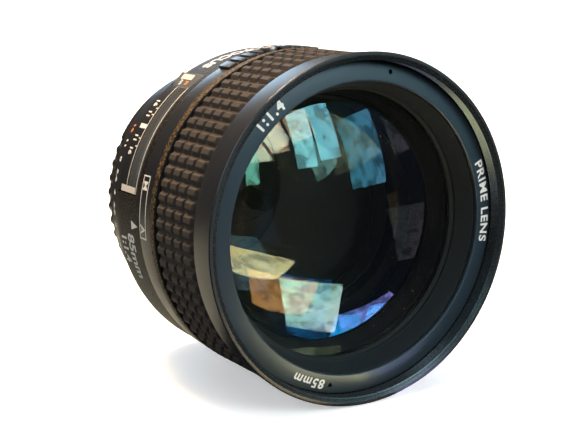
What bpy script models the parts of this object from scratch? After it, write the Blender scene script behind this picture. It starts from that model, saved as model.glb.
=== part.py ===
"""Prime camera lens, 85 mm f/1.4 size, built as an assembly of separate pieces.

Frame: the optical axis is Y, the front glass faces -Y and the camera side faces +Y.
The origin is the centre of the bayonet flange plane, and +Z is up as the lens lies
on its side. Angles are measured about the axis from +Z towards +X. Dimensions are
in millimetres and are turned into metres by MM.
"""
import math

import bmesh
import bpy
from mathutils import Matrix, Vector

MM = 0.001

# Driving dimensions of the whole lens
LENGTH = 72.5            # flange plane to front rim
RIM_RADIUS = 40.0        # outside of the front rim
THREAD_RADIUS = 38.0     # crest of the filter thread
BARREL_RADIUS = 38.4     # fixed barrel with the distance window
SWITCH_RADIUS = 38.9     # autofocus / manual ring
COLLAR_RADIUS = 39.3     # narrow collar behind the focus ring
GRIP_RADIUS = 39.3       # tops of the rubber ribs
FLANGE_RADIUS = 30.6     # chrome bayonet flange
THROAT_RADIUS = 20.4     # inside of the bayonet tube
GLASS_RADIUS = 31.0      # front element
APERTURE_FRONT = 20.0    # front edge of the aperture ring, ahead of the flange

# Directions of features round the axis, in degrees
INDEX_ANGLE = -56.8
WINDOW_START = -82.0
WINDOW_FLOOR_END = -37.2
WINDOW_END = -31.0
BUTTON_ANGLE = -8.5
LOCK_ANGLE = 35.0
AF_ANGLE = 128.25        # halfway between two teeth of the focus gear
LEVER_ANGLE = -40.0
CONTACT_ANGLE = 100.0
SCREW_ANGLE = 20.0
ROLLER_ANGLE = 30.0
KEY_ANGLE = 60.0
DOG_ANGLE = 210.0

# Movements
FOCUS_TURN = 150.0       # focus ring, stop to stop
FOCUS_TRAVEL = 5.5       # rear group, stop to stop
IRIS_TURN = 29.4         # diaphragm drive ring over the whole aperture scale
BLADE_TURN = 33.4        # each blade, from f/16 to fully open

# Counts
OUTER = 40               # facets round the large outside rings
MIDDLE = 36              # facets round the rings between them
INNER = 24               # facets round the inner pieces
SCALLOPS = 54
SMOOTH = (299.0, 340.0)  # stretch of the aperture grip without scallops, in degrees
RUBBER_RIBS = 80
BLADES = 9
SCREWS = 5
GEAR_TEETH = 80
PINION_TEETH = 12

# Gear train between the camera's drive and the focus cam
AF_RADIUS = 26.5
GEAR_MODULE = AF_RADIUS * 2.0 / (GEAR_TEETH - PINION_TEETH)
GEAR_PITCH = GEAR_MODULE * GEAR_TEETH / 2.0
PINION_PITCH = GEAR_MODULE * PINION_TEETH / 2.0

# Diaphragm
PIVOT_RADIUS = 26.6
PIN_STEP = -4.5          # drive pin, measured from the pivot round the axis
BAND_INNER = 17.2
BAND_OUTER = 25.3
BAND_SPAN = 110.0
BLADE_FRONT = -40.3
BLADE_STEP = 0.25
BLADE_THICK = 0.15

# name: colour, roughness, metallic
FINISHES = {
    "crinkle_black": ((0.060, 0.055, 0.048), 0.62, 0.0),
    "satin_black": ((0.030, 0.032, 0.036), 0.35, 0.0),
    "matte_black": ((0.016, 0.016, 0.017), 0.80, 0.0),
    "black_plastic": ((0.020, 0.020, 0.020), 0.70, 0.0),
    "rubber_black": ((0.065, 0.055, 0.045), 0.70, 0.0),
    "inner_alloy": ((0.120, 0.120, 0.125), 0.45, 0.8),
    "bright_alloy": ((0.600, 0.600, 0.610), 0.30, 1.0),
    "chrome": ((0.720, 0.720, 0.730), 0.12, 1.0),
    "brass": ((0.600, 0.430, 0.180), 0.30, 1.0),
    "gold": ((0.830, 0.620, 0.240), 0.25, 1.0),
    "steel_blade": ((0.100, 0.100, 0.110), 0.40, 0.9),
    "coated_glass": ((0.300, 0.450, 0.480), 0.03, 0.0),
    "clear_plastic": ((0.550, 0.600, 0.620), 0.08, 0.0),
}


def clear_scene():
    """Start from an empty scene."""
    for item in list(bpy.data.objects):
        bpy.data.objects.remove(item, do_unlink=True)


def polar(radius, angle, y):
    """Point at a radius and an angle about the optical axis."""
    turn = math.radians(angle)
    return Vector((radius * math.sin(turn), y, radius * math.cos(turn))) * MM


def finish(name):
    """Material for one named finish."""
    found = bpy.data.materials.get(name)
    if found:
        return found
    colour, roughness, metallic = FINISHES[name]
    material = bpy.data.materials.new(name)
    material.use_nodes = True
    shader = material.node_tree.nodes["Principled BSDF"]
    shader.inputs["Base Color"].default_value = (*colour, 1.0)
    shader.inputs["Roughness"].default_value = roughness
    shader.inputs["Metallic"].default_value = metallic
    material.diffuse_color = (*colour, 1.0)
    return material


def add_object(name, bm, finish_name="matte_black"):
    """Turn a bmesh into a named object with outward faces and smooth shading."""
    bmesh.ops.recalc_face_normals(bm, faces=bm.faces)
    if bm.calc_volume(signed=True) < 0.0:
        bmesh.ops.reverse_faces(bm, faces=bm.faces)
    mesh = bpy.data.meshes.new(name)
    bm.to_mesh(mesh)
    bm.free()
    item = bpy.data.objects.new(name, mesh)
    bpy.context.collection.objects.link(item)
    mesh.materials.append(finish(finish_name))
    mesh.shade_smooth()
    mesh.set_sharp_from_angle(angle=math.radians(32.0))
    return item


def apply_modifiers(item):
    """Keep the evaluated shape as the object's own mesh."""
    graph = bpy.context.evaluated_depsgraph_get()
    mesh = bpy.data.meshes.new_from_object(item.evaluated_get(graph))
    old = item.data
    item.modifiers.clear()
    item.data = mesh
    bpy.data.meshes.remove(old)


def combine(item, tool, operation):
    """Boolean one tool object into an item and discard the tool."""
    step = item.modifiers.new(operation.lower(), "BOOLEAN")
    step.operation = operation
    step.solver = "EXACT"
    step.object = tool
    apply_modifiers(item)
    bpy.data.objects.remove(tool, do_unlink=True)
    item.data.shade_smooth()
    item.data.set_sharp_from_angle(angle=math.radians(32.0))


def cut(item, tool):
    """Take the tool's shape out of the item."""
    combine(item, tool, "DIFFERENCE")


def join(item, tool):
    """Fuse the tool's shape to the item."""
    combine(item, tool, "UNION")


def set_origin(item, point):
    """Move an object's origin to a point without moving its shape."""
    item.data.transform(Matrix.Translation(-point))
    item.location = point


def revolve(name, outline, steps, finish_name="matte_black"):
    """Solid of revolution of a closed (radius, y) outline about the optical axis."""
    bm = bmesh.new()
    rings = []
    for radius, y in outline:
        count = steps if radius > 0.0 else 1
        rings.append([bm.verts.new(polar(radius, 360.0 * i / steps, y)) for i in range(count)])
    for first, second in zip(rings, rings[1:] + rings[:1]):
        if len(first) == 1 and len(second) == 1:
            continue
        for i in range(steps):
            j = (i + 1) % steps
            corners = [first[i % len(first)], first[j % len(first)],
                       second[j % len(second)], second[i % len(second)]]
            unique = [v for k, v in enumerate(corners) if v not in corners[:k]]
            bm.faces.new(unique)
    return add_object(name, bm, finish_name)


def plate(name, loops, y0, y1, finish_name="matte_black"):
    """Flat plate across the axis. The first loop of points is its edge, the rest are holes."""
    bm = bmesh.new()
    edges = []
    for loop in loops:
        verts = [bm.verts.new((x * MM, y0 * MM, z * MM)) for x, z in loop]
        for i, vert in enumerate(verts):
            edges.append(bm.edges.new((vert, verts[(i + 1) % len(verts)])))
    bmesh.ops.triangle_fill(bm, edges=edges, use_beauty=True, normal=(0.0, -1.0, 0.0))
    grown = bmesh.ops.extrude_face_region(bm, geom=list(bm.faces))
    moved = [part for part in grown["geom"] if isinstance(part, bmesh.types.BMVert)]
    bmesh.ops.translate(bm, verts=moved, vec=(0.0, (y1 - y0) * MM, 0.0))
    return add_object(name, bm, finish_name)


def flat(radius, angle):
    """Polar position as (x, z) millimetres."""
    turn = math.radians(angle)
    return radius * math.sin(turn), radius * math.cos(turn)


def arc(radius, start, end, steps):
    """Points along an arc about the axis."""
    return [flat(radius, start + (end - start) * i / steps) for i in range(steps + 1)]


def circle(radius, centre, steps):
    """Points round a small circle."""
    found = []
    for i in range(steps):
        turn = math.tau * i / steps
        found.append((centre[0] + radius * math.sin(turn), centre[1] + radius * math.cos(turn)))
    return found


def full_circle(radius, steps):
    """Points round a circle about the axis."""
    return circle(radius, (0.0, 0.0), steps)


def sector(name, r0, r1, start, end, y0, y1, steps=6, finish_name="matte_black"):
    """Curved block between two radii, two angles and two heights."""
    loop = arc(r1, start, end, steps) + arc(r0, end, start, steps)
    return plate(name, [loop], y0, y1, finish_name)


def cylinder_along(name, radius, start, end, steps=16, finish_name="matte_black"):
    """Cylinder between two points given in metres."""
    axis = end - start
    bm = bmesh.new()
    bmesh.ops.create_cone(bm, cap_ends=True, segments=steps, radius1=radius * MM,
                          radius2=radius * MM, depth=axis.length)
    turn = axis.to_track_quat("Z", "Y").to_matrix().to_4x4()
    bm.transform(Matrix.Translation((start + end) / 2.0) @ turn)
    return add_object(name, bm, finish_name)


def axial_rod(name, radius, at_radius, angle, y0, y1, steps=16, finish_name="matte_black"):
    """Cylinder parallel to the optical axis."""
    return cylinder_along(name, radius, polar(at_radius, angle, y0), polar(at_radius, angle, y1),
                          steps, finish_name)


def radial_rod(name, radius, angle, y, r0, r1, steps=16, finish_name="matte_black"):
    """Cylinder pointing straight out from the optical axis."""
    return cylinder_along(name, radius, polar(r0, angle, y), polar(r1, angle, y), steps,
                          finish_name)


def radial_box(name, angle, half_width, y0, y1, r0, r1, finish_name="matte_black"):
    """Straight-sided block pointing out from the optical axis."""
    outward = Vector(polar(1.0, angle, 0.0)).normalized()
    across = Vector((outward.z, 0.0, -outward.x))
    bm = bmesh.new()
    bmesh.ops.create_cube(bm, size=1.0)
    size = (2.0 * half_width * MM, (y1 - y0) * MM, (r1 - r0) * MM)
    bmesh.ops.scale(bm, vec=size, verts=bm.verts)
    frame = Matrix((across, (0.0, 1.0, 0.0), outward)).transposed().to_4x4()
    centre = outward * (r0 + r1) / 2.0 * MM + Vector((0.0, (y0 + y1) / 2.0 * MM, 0.0))
    bm.transform(Matrix.Translation(centre) @ frame)
    return add_object(name, bm, finish_name)


def sag(radius, curve):
    """Depth of a spherical surface at a radius; zero curve means flat."""
    if not curve:
        return 0.0
    depth = abs(curve) - math.sqrt(curve * curve - radius * radius)
    return math.copysign(depth, curve)


def lens(name, edge, front, front_curve, rear, rear_curve, rear_edge=None, steps=24, rings=3):
    """Glass element; a positive curve bulges towards the front at that surface."""
    rear_edge = rear_edge or edge
    outline = []
    for i in range(rings + 1):
        r = edge * i / rings
        outline.append((r, front + sag(r, front_curve)))
    if rear_edge < edge:
        outline.append((edge, rear + sag(rear_edge, rear_curve)))
    count = rings if rear_curve else 1
    for i in range(count, -1, -1):
        r = rear_edge * i / count
        outline.append((r, rear + sag(r, rear_curve)))
    return revolve(name, outline, steps, "coated_glass")


# ---- Front of the lens -------------------------------------------------------

def build_front():
    """Front rim with its filter thread, name ring, light baffle and retaining ring."""
    front = -LENGTH
    rim = [(RIM_RADIUS - 0.25, front), (RIM_RADIUS, front + 0.25), (39.55, -66.5),
           (39.2, -63.75), (38.7, -63.15), (35.2, -63.15), (35.2, -66.6), (36.85, -66.6),
           (36.85, -68.1), (THREAD_RADIUS, -68.1)]
    for crest in (-69.4, -70.6):
        rim += [(THREAD_RADIUS, crest), (THREAD_RADIUS + 0.35, crest - 0.4)]
    rim += [(THREAD_RADIUS, front + 0.8), (THREAD_RADIUS + 0.8, front)]
    revolve("front_barrel", rim, OUTER, "crinkle_black")

    name_ring = revolve("name_ring", [(37.8, -68.85), (33.6, -69.75), (33.3, -69.5),
                                      (33.35, -68.6), (35.5, -68.6), (35.5, -66.9),
                                      (36.5, -66.9), (36.5, -68.3), (37.8, -68.3)],
                        OUTER, "satin_black")
    for angle in (12.5, 192.5):
        cut(name_ring, axial_rod("spanner_hole", 0.55, 35.9, angle, -70.0, -68.0, 10))

    revolve("front_baffle", [(33.25, -68.3), (31.55, -63.3), (33.1, -63.3), (33.1, -66.5),
                             (35.0, -66.5), (35.0, -68.3)], OUTER, "matte_black")
    revolve("front_retaining_ring", [(31.5, -63.0), (30.9, -62.2), (32.0, -62.2),
                                     (32.0, -63.0)], OUTER, "matte_black")


def build_front_group():
    """Front cell and the three glass elements it holds."""
    revolve("front_cell", [(32.3, -63.0), (32.3, -61.95), (31.3, -61.95), (31.3, -58.4),
                           (29.9, -58.4), (26.8, -52.2), (26.8, -49.7), (25.2, -49.7),
                           (21.8, -46.2), (21.8, -41.6), (28.5, -41.6), (28.5, -43.0),
                           (33.1, -43.0), (33.1, -63.0)], INNER, "matte_black")
    lens("lens_1", GLASS_RADIUS, -68.4, 75.1, -59.9, 400.0, steps=36, rings=4)
    lens("lens_2", 26.5, -59.3, 48.0, -52.5, 140.0)
    lens("lens_3", 21.5, -52.0, 38.0, -49.6, 24.0, rear_edge=17.5)


# ---- Fixed barrel --------------------------------------------------------------

def build_main_barrel():
    """Double-walled barrel that carries every other piece."""
    barrel = revolve("main_barrel", [(33.4, -66.2), (34.8, -66.2), (34.8, -21.0),
                                     (30.4, -21.0), (30.4, -2.9), (23.5, -2.9),
                                     (23.5, -4.9), (28.8, -4.9), (28.8, -25.9),
                                     (29.8, -25.9), (29.8, -42.2), (31.2, -42.2),
                                     (31.2, -26.2), (30.2, -26.2), (30.2, -22.6),
                                     (33.4, -22.6)], MIDDLE, "inner_alloy")
    cut(barrel, sector("key_slot", 32.5, 35.6, KEY_ANGLE - 5.0, KEY_ANGLE + FOCUS_TURN + 5.0,
                       -41.1, -36.9, 12))
    for turn in (0.0, 120.0, 240.0):
        cut(barrel, radial_box("guide_slot", ROLLER_ANGLE + turn, 1.5, -36.1, -27.1, 28.0, 32.0))
    cut(barrel, radial_box("pinion_window", AF_ANGLE, 5.3, -25.75, -22.95, 27.0, 31.0))
    cut(barrel, axial_rod("drive_hole", 1.7, AF_RADIUS, AF_ANGLE, -6.0, -2.0, 12))
    for angle in screw_angles():
        cut(barrel, axial_rod("screw_hole", 1.2, 26.2, angle, -6.0, -2.0, 6))


def screw_angles():
    """Angles of the mount screws."""
    return [SCREW_ANGLE + 360.0 * i / SCREWS for i in range(SCREWS)]


def build_scale_barrel():
    """Outer fixed barrel with the distance window, its plates and the collar."""
    barrel = revolve("scale_barrel", [(37.5, -20.4), (BARREL_RADIUS, -23.5),
                                      (BARREL_RADIUS, -35.7), (37.4, -35.7), (37.4, -44.3),
                                      (36.75, -44.3), (36.75, -22.2), (35.2, -22.2),
                                      (35.2, -20.4)], OUTER, "crinkle_black")
    floor = arc(37.5, WINDOW_START, WINDOW_FLOOR_END, 10)
    ramp = [flat(38.7, WINDOW_END)]
    outside = arc(39.6, WINDOW_END, WINDOW_START, 8)
    cut(barrel, plate("recess", [floor + ramp + outside], -32.8, -21.4))
    cut(barrel, sector("window", 36.2, 39.0, WINDOW_START + 1.4, WINDOW_FLOOR_END - 0.6,
                       -31.3, -26.3, 10))
    sector("depth_scale_plate", 37.8, 38.0, WINDOW_START + 0.6, WINDOW_FLOOR_END - 0.6,
           -25.8, -21.7, 10, "black_plastic")
    sector("scale_window", 37.8, 38.0, WINDOW_START + 0.6, WINDOW_FLOOR_END - 0.6,
           -32.5, -26.1, 10, "clear_plastic")
    revolve("collar_ring", [(37.75, -42.1), (COLLAR_RADIUS - 0.2, -42.1),
                            (COLLAR_RADIUS, -42.3), (COLLAR_RADIUS, -43.9),
                            (COLLAR_RADIUS - 0.4, -44.4), (37.75, -44.4)],
            OUTER, "crinkle_black")


# ---- Focusing -------------------------------------------------------------------

def build_focus_ring():
    """Focus ring with its ribbed rubber sleeve."""
    ring = revolve("focus_ring", [(35.2, -63.0), (38.3, -63.0), (38.3, -45.4), (36.3, -45.4),
                                  (36.3, -41.8), (35.2, -41.8)], MIDDLE, "satin_black")
    join(ring, sector("dog", 35.35, 36.2, DOG_ANGLE - 2.0, DOG_ANGLE + 2.0, -42.5, -40.6, 2))
    step = 360.0 / RUBBER_RIBS
    edge = []
    for i in range(RUBBER_RIBS):
        start = i * step
        edge += [flat(GRIP_RADIUS - 0.4, start), flat(GRIP_RADIUS, start + 0.5 * step)]
    plate("focus_grip", [edge, full_circle(38.55, OUTER)], -62.8, -45.6, "rubber_black")


def build_switch_ring():
    """Autofocus / manual ring with its notched pads, lock button and leaf spring."""
    ring = revolve("am_ring", [(37.75, -36.0), (SWITCH_RADIUS - 0.2, -36.0),
                               (SWITCH_RADIUS, -36.2), (SWITCH_RADIUS, -41.6),
                               (SWITCH_RADIUS - 0.2, -41.8), (37.75, -41.8)],
                   OUTER, "satin_black")
    for start in (-27.0, -5.0):
        join(ring, notched_pad(start))
    cut(ring, radial_rod("button_hole", 2.45, BUTTON_ANGLE, -39.0, 36.5, 41.0, 16))
    button = radial_rod("am_lock_button", 2.1, BUTTON_ANGLE, -39.0, 38.65, 40.0, 16, "chrome")
    set_origin(button, polar(39.3, BUTTON_ANGLE, -39.0))
    radial_box("am_button_spring", BUTTON_ANGLE, 1.0, -41.0, -37.0, 37.9, 38.05, "bright_alloy")


def notched_pad(start):
    """Raised finger pad with three grooves along the axis."""
    top = 39.6
    loop = [flat(top, start)]
    for groove in (4.3, 8.4, 12.5):
        middle = start + groove
        loop += [flat(top, middle - 0.5), flat(top - 0.45, middle - 0.4),
                 flat(top - 0.45, middle + 0.4), flat(top, middle + 0.5)]
    loop += [flat(top, start + 15.0)]
    loop += arc(38.3, start + 15.0, start, 4)
    return plate("finger_pad", [loop], -41.0, -36.4)


def build_distance_drum():
    """Distance drum, and the key that turns the focus cam with it."""
    drum = revolve("distance_scale_drum", [(35.2, -41.5), (36.3, -41.5), (36.3, -24.0),
                                           (35.2, -24.0)], MIDDLE, "satin_black")
    cut(drum, radial_box("key_seat", KEY_ANGLE, 1.9, -40.9, -37.1, 34.6, 37.0))
    cut(drum, sector("dog_notch", 34.6, 37.0, DOG_ANGLE - 2.6, DOG_ANGLE + 2.6, -42.0, -40.2, 2))
    radial_box("focus_drive_key", KEY_ANGLE, 1.4, -40.4, -37.6, 32.1, 36.1, "brass")


def build_focus_cam():
    """Cam ring with three helical slots, and the internal gear behind it."""
    cam = revolve("cam_ring", [(31.6, -42.5), (33.0, -42.5), (33.0, -26.2), (31.6, -26.2)],
                  MIDDLE, "inner_alloy")
    for turn in (0.0, 120.0, 240.0):
        cut(cam, helical_slot(ROLLER_ANGLE + turn))
    cut(cam, radial_box("cam_key_seat", KEY_ANGLE, 1.9, -40.9, -37.1, 31.0, 34.0))

    first = round((AF_ANGLE - FOCUS_TURN - 12.0) / 360.0 * GEAR_TEETH)
    last = round((AF_ANGLE + 12.0) / 360.0 * GEAR_TEETH)
    teeth = gear_outline(range(first, last + 1), GEAR_TEETH, GEAR_PITCH, -0.5, 0.75)
    step = 360.0 / GEAR_TEETH
    back = arc(33.0, (last + 0.5) * step, (first - 0.5) * step, 22)
    plate("focus_gear", [teeth + back], -25.9, -23.1, "brass")


def helical_slot(angle):
    """Cutter that follows a roller as the cam turns and the rear group slides."""
    steps = 10
    start, end = -28.85, -28.85 - FOCUS_TRAVEL
    margin = math.degrees(1.5 / 32.0)
    bm = bmesh.new()
    sections = []
    for i in range(steps + 1):
        share = i / steps
        turn = angle + margin - (FOCUS_TURN + 2.0 * margin) * share
        y = start + (end - start) * share
        corners = [(30.8, y + 1.5), (33.8, y + 1.5), (33.8, y - 1.5), (30.8, y - 1.5)]
        sections.append([bm.verts.new(polar(r, turn, height)) for r, height in corners])
    for first, second in zip(sections, sections[1:]):
        for k in range(4):
            m = (k + 1) % 4
            bm.faces.new((first[k], first[m], second[m], second[k]))
    bm.faces.new(sections[0])
    bm.faces.new(sections[-1][::-1])
    return add_object("helical_slot", bm)


def gear_outline(numbers, teeth, pitch, tip, root, phase=0.0, centre=(0.0, 0.0)):
    """Trapezoid teeth round a pitch circle, with generous backlash."""
    half = math.degrees(0.75 / pitch) / 2.0
    points = []
    for i in numbers:
        middle = phase + 360.0 * i / teeth
        for offset, radius in ((-1.7 * half, pitch + root), (-0.6 * half, pitch + tip),
                               (0.6 * half, pitch + tip), (1.7 * half, pitch + root)):
            x, z = flat(radius, middle + offset)
            points.append((centre[0] + x, centre[1] + z))
    return points


def build_af_drive():
    """Slotted drive shaft and pinion turned by the camera body."""
    centre = flat(AF_RADIUS, AF_ANGLE)
    teeth = gear_outline(range(PINION_TEETH), PINION_TEETH, PINION_PITCH, 0.5, -0.8,
                         AF_ANGLE, centre)
    shaft = plate("af_drive_shaft", [teeth], -25.6, -23.2, "bright_alloy")
    join(shaft, axial_rod("shaft", 1.3, AF_RADIUS, AF_ANGLE, -24.0, -0.2, 12))
    cut(shaft, radial_box("driver_slot", AF_ANGLE, 2.0, -0.9, 0.5, AF_RADIUS - 0.3,
                          AF_RADIUS + 0.3))
    set_origin(shaft, polar(AF_RADIUS, AF_ANGLE, 0.0))


def build_rear_group():
    """Sliding rear cell, its six elements, retaining ring and guide rollers."""
    cell = revolve("rear_cell", [(17.3, -31.4), (29.3, -31.4), (29.3, -26.3), (18.3, -26.3),
                                 (18.3, -1.0), (17.3, -1.0)], INNER, "matte_black")
    cut(cell, sector("lever_slot", 18.75, 20.35, LEVER_ANGLE - 5.0,
                     LEVER_ANGLE + IRIS_TURN + 5.0, -32.0, -25.5, 8))
    for i in range(3):
        angle = ROLLER_ANGLE + 120.0 * i
        cut(cell, radial_rod("roller_seat", 1.55, angle, -28.85, 27.0, 30.0, 12))
        roller = radial_rod(f"guide_roller_{i + 1}", 1.2, angle, -28.85, 27.4, 32.8, 12,
                            "bright_alloy")
        set_origin(roller, polar(30.0, angle, -28.85))
    lens("lens_4", 17.0, -27.1, -40.0, -25.6, 70.0)
    lens("lens_5", 17.0, -25.35, 70.0, -18.9, -45.0)
    lens("lens_6", 17.0, -18.4, 200.0, -13.9, -60.0)
    lens("lens_7", 17.0, -13.4, 90.0, -9.3, -90.0)
    lens("lens_8", 17.0, -8.8, 120.0, -6.2, 0.0)
    lens("lens_9", 17.0, -5.8, 0.0, -4.2, 90.0)
    revolve("rear_retaining_ring", [(15.6, -1.3), (15.2, -2.2), (17.0, -2.2), (17.0, -1.3)],
            INNER, "matte_black")


# ---- Diaphragm --------------------------------------------------------------------

def build_diaphragm():
    """Base plate, nine blades, and the slotted ring with the stop-down lever."""
    holes = []
    slots = []
    for i in range(BLADES):
        angle = 360.0 * i / BLADES
        holes.append(circle(0.95, flat(PIVOT_RADIUS, angle), 6))
        slots.append(drive_slot(angle))
        build_blade(i + 1, angle, BLADE_FRONT + BLADE_STEP * i)
    plate("diaphragm_base", [full_circle(29.3, INNER), full_circle(17.6, INNER)] + holes,
          -41.2, -40.6, "matte_black")
    ring = plate("diaphragm_drive_ring", [full_circle(29.2, INNER), full_circle(22.2, INNER)]
                 + slots, -37.85, -37.25, "bright_alloy")
    join(ring, sector("arm", 19.0, 23.5, LEVER_ANGLE - 3.0, LEVER_ANGLE + 3.0,
                      -37.75, -37.35, 2))
    join(ring, sector("lever", 19.0, 20.0, LEVER_ANGLE - 3.0, LEVER_ANGLE + 3.0,
                      -37.7, 3.0, 2))


def turned(point, centre, angle):
    """Rotate an (x, z) point about a centre, in the sense of increasing angle."""
    turn = math.radians(angle)
    x, z = point[0] - centre[0], point[1] - centre[1]
    return (centre[0] + x * math.cos(turn) + z * math.sin(turn),
            centre[1] - x * math.sin(turn) + z * math.cos(turn))


def drive_slot(angle):
    """Slot in the drive ring that follows one blade's pin as both turn."""
    pivot = flat(PIVOT_RADIUS, angle)
    open_pin = flat(PIVOT_RADIUS, angle + PIN_STEP)
    path = []
    for i in range(6):
        share = i / 5
        pin = turned(open_pin, pivot, BLADE_TURN * (1.0 - share))
        path.append(turned(pin, (0.0, 0.0), -IRIS_TURN * share))
    outer = [(x * (1.0 + 0.8 / math.hypot(x, z)), z * (1.0 + 0.8 / math.hypot(x, z)))
             for x, z in path]
    inner = [(x * (1.0 - 0.8 / math.hypot(x, z)), z * (1.0 - 0.8 / math.hypot(x, z)))
             for x, z in path]
    first = turned(path[0], (0.0, 0.0), 1.9)
    last = turned(path[-1], (0.0, 0.0), -1.9)
    return [first] + outer + [last] + inner[::-1]


def build_blade(number, angle, y):
    """Curved blade with a pivot pin towards the base and a drive pin towards the ring."""
    pivot = flat(PIVOT_RADIUS, angle)
    outline = arc(BAND_INNER, angle, angle + BAND_SPAN, 8)
    outline += arc(BAND_OUTER, angle + BAND_SPAN, angle + 2.0, 7)
    outline += [flat(27.4, angle + 2.0), flat(27.4, angle - 6.0), flat(25.8, angle - 6.0),
                flat(25.3, angle - 1.0)]
    outline = [turned(point, pivot, BLADE_TURN) for point in outline]
    blade = plate(f"blade_{number}", [outline], y, y + BLADE_THICK, "steel_blade")
    pin = turned(flat(PIVOT_RADIUS, angle + PIN_STEP), pivot, BLADE_TURN)
    join(blade, plate("pivot_pin", [circle(0.6, pivot, 6)], -40.9, y + BLADE_THICK / 2.0))
    join(blade, plate("drive_pin", [circle(0.5, pin, 6)], y + BLADE_THICK / 2.0, -37.4))
    set_origin(blade, polar(PIVOT_RADIUS, angle, y))


# ---- Aperture ring ------------------------------------------------------------------

def build_aperture_ring():
    """Aperture ring with a scalloped grip and a bevel for the numbers, and its lock."""
    steps = 2 * SCALLOPS
    outline = [(30.8, -3.1), (32.3, -3.1), (32.3, -8.4), (34.0, -9.0),
               (37.0, -APERTURE_FRONT), (35.2, -APERTURE_FRONT), (30.8, -8.3)]
    scalloped = (1, 2)
    bm = bmesh.new()
    rings = []
    for index, (radius, y) in enumerate(outline):
        ring = []
        for i in range(steps):
            angle = 360.0 * i / steps
            dipped = index in scalloped and i % 2 == 1 and not SMOOTH[0] < angle < SMOOTH[1]
            ring.append(bm.verts.new(polar(radius - 0.7 if dipped else radius, angle, y)))
        rings.append(ring)
    for first, second in zip(rings, rings[1:] + rings[:1]):
        for i in range(steps):
            j = (i + 1) % steps
            bm.faces.new((first[i], first[j], second[j], second[i]))
    ring = add_object("aperture_ring", bm, "satin_black")
    cut(ring, sector("lock_slot", 32.0, 38.5, LOCK_ANGLE - 3.8, LOCK_ANGLE + 3.8,
                     -18.2, -10.8, 3))
    lock = sector("aperture_lock", 34.4, 36.3, LOCK_ANGLE - 3.2, LOCK_ANGLE + 3.2,
                  -15.8, -11.2, 3, "black_plastic")
    set_origin(lock, polar(35.3, LOCK_ANGLE, -13.5))


# ---- Camera side ----------------------------------------------------------------------

def build_mount():
    """Chrome bayonet with three claws, screws, electrical contacts and light seal."""
    flange = revolve("mount_flange", [(FLANGE_RADIUS, -2.6), (FLANGE_RADIUS, -0.25),
                                      (FLANGE_RADIUS - 0.25, 0.0), (21.9, 0.0), (21.9, 5.2),
                                      (THROAT_RADIUS, 5.2), (THROAT_RADIUS, -2.6)],
                     OUTER, "chrome")
    for start in (-10.0, 110.0, 230.0):
        join(flange, sector("claw", 21.4, 23.4, start, start + 56.0, 3.2, 4.7, 6))
    cut(flange, axial_rod("drive_hole", 1.7, AF_RADIUS, AF_ANGLE, -3.0, 1.0, 12))
    for i, angle in enumerate(screw_angles()):
        cut(flange, axial_rod("screw_hole", 1.2, 26.2, angle, -3.0, -0.5, 6))
        cut(flange, axial_rod("counterbore", 2.0, 26.2, angle, -1.1, 1.0, 8))
        screw = axial_rod(f"mount_screw_{i + 1}", 1.6, 26.2, angle, -0.8, -0.1, 10, "chrome")
        join(screw, axial_rod("shank", 0.8, 26.2, angle, -4.4, -0.5, 6))
        set_origin(screw, polar(26.2, angle, 0.0))

    sector("contact_block", 18.7, 20.1, CONTACT_ANGLE - 24.0, CONTACT_ANGLE + 24.0, 0.5, 4.7, 8,
           "black_plastic")
    comb = arc(19.9, CONTACT_ANGLE + 21.0, CONTACT_ANGLE - 21.0, 8)
    for i in range(5):
        middle = CONTACT_ANGLE - 17.6 + 8.8 * i
        comb += [flat(19.5, middle - 2.3), flat(18.9, middle - 2.3), flat(18.9, middle + 2.3),
                 flat(19.5, middle + 2.3)]
    plate("cpu_contacts", [comb], 5.0, 5.4, "gold")

    seal = plate("rear_baffle", [full_circle(28.4, INNER), full_circle(18.7, INNER),
                                 circle(1.7, flat(AF_RADIUS, AF_ANGLE), 10)],
                 -6.4, -5.4, "matte_black")
    cut(seal, sector("lever_gap", 18.0, 20.5, LEVER_ANGLE - 5.0, LEVER_ANGLE + IRIS_TURN + 5.0,
                     -7.0, -5.0, 8))


def main():
    clear_scene()
    build_front()
    build_front_group()
    build_main_barrel()
    build_scale_barrel()
    build_focus_ring()
    build_switch_ring()
    build_distance_drum()
    build_focus_cam()
    build_af_drive()
    build_rear_group()
    build_diaphragm()
    build_aperture_ring()
    build_mount()


main()
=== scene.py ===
"""Looks of a prime camera lens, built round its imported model.

The optical axis is Y and the front glass faces -Y. Lengths are in millimetres and are turned
into metres by MM. Angles are in degrees about the axis, from +Z towards +X. The scales and the
lettering on the barrel read from behind the lens, with their tops towards the front glass.
"""
import math

import bmesh
import bpy
from mathutils import Matrix, Vector, noise


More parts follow.
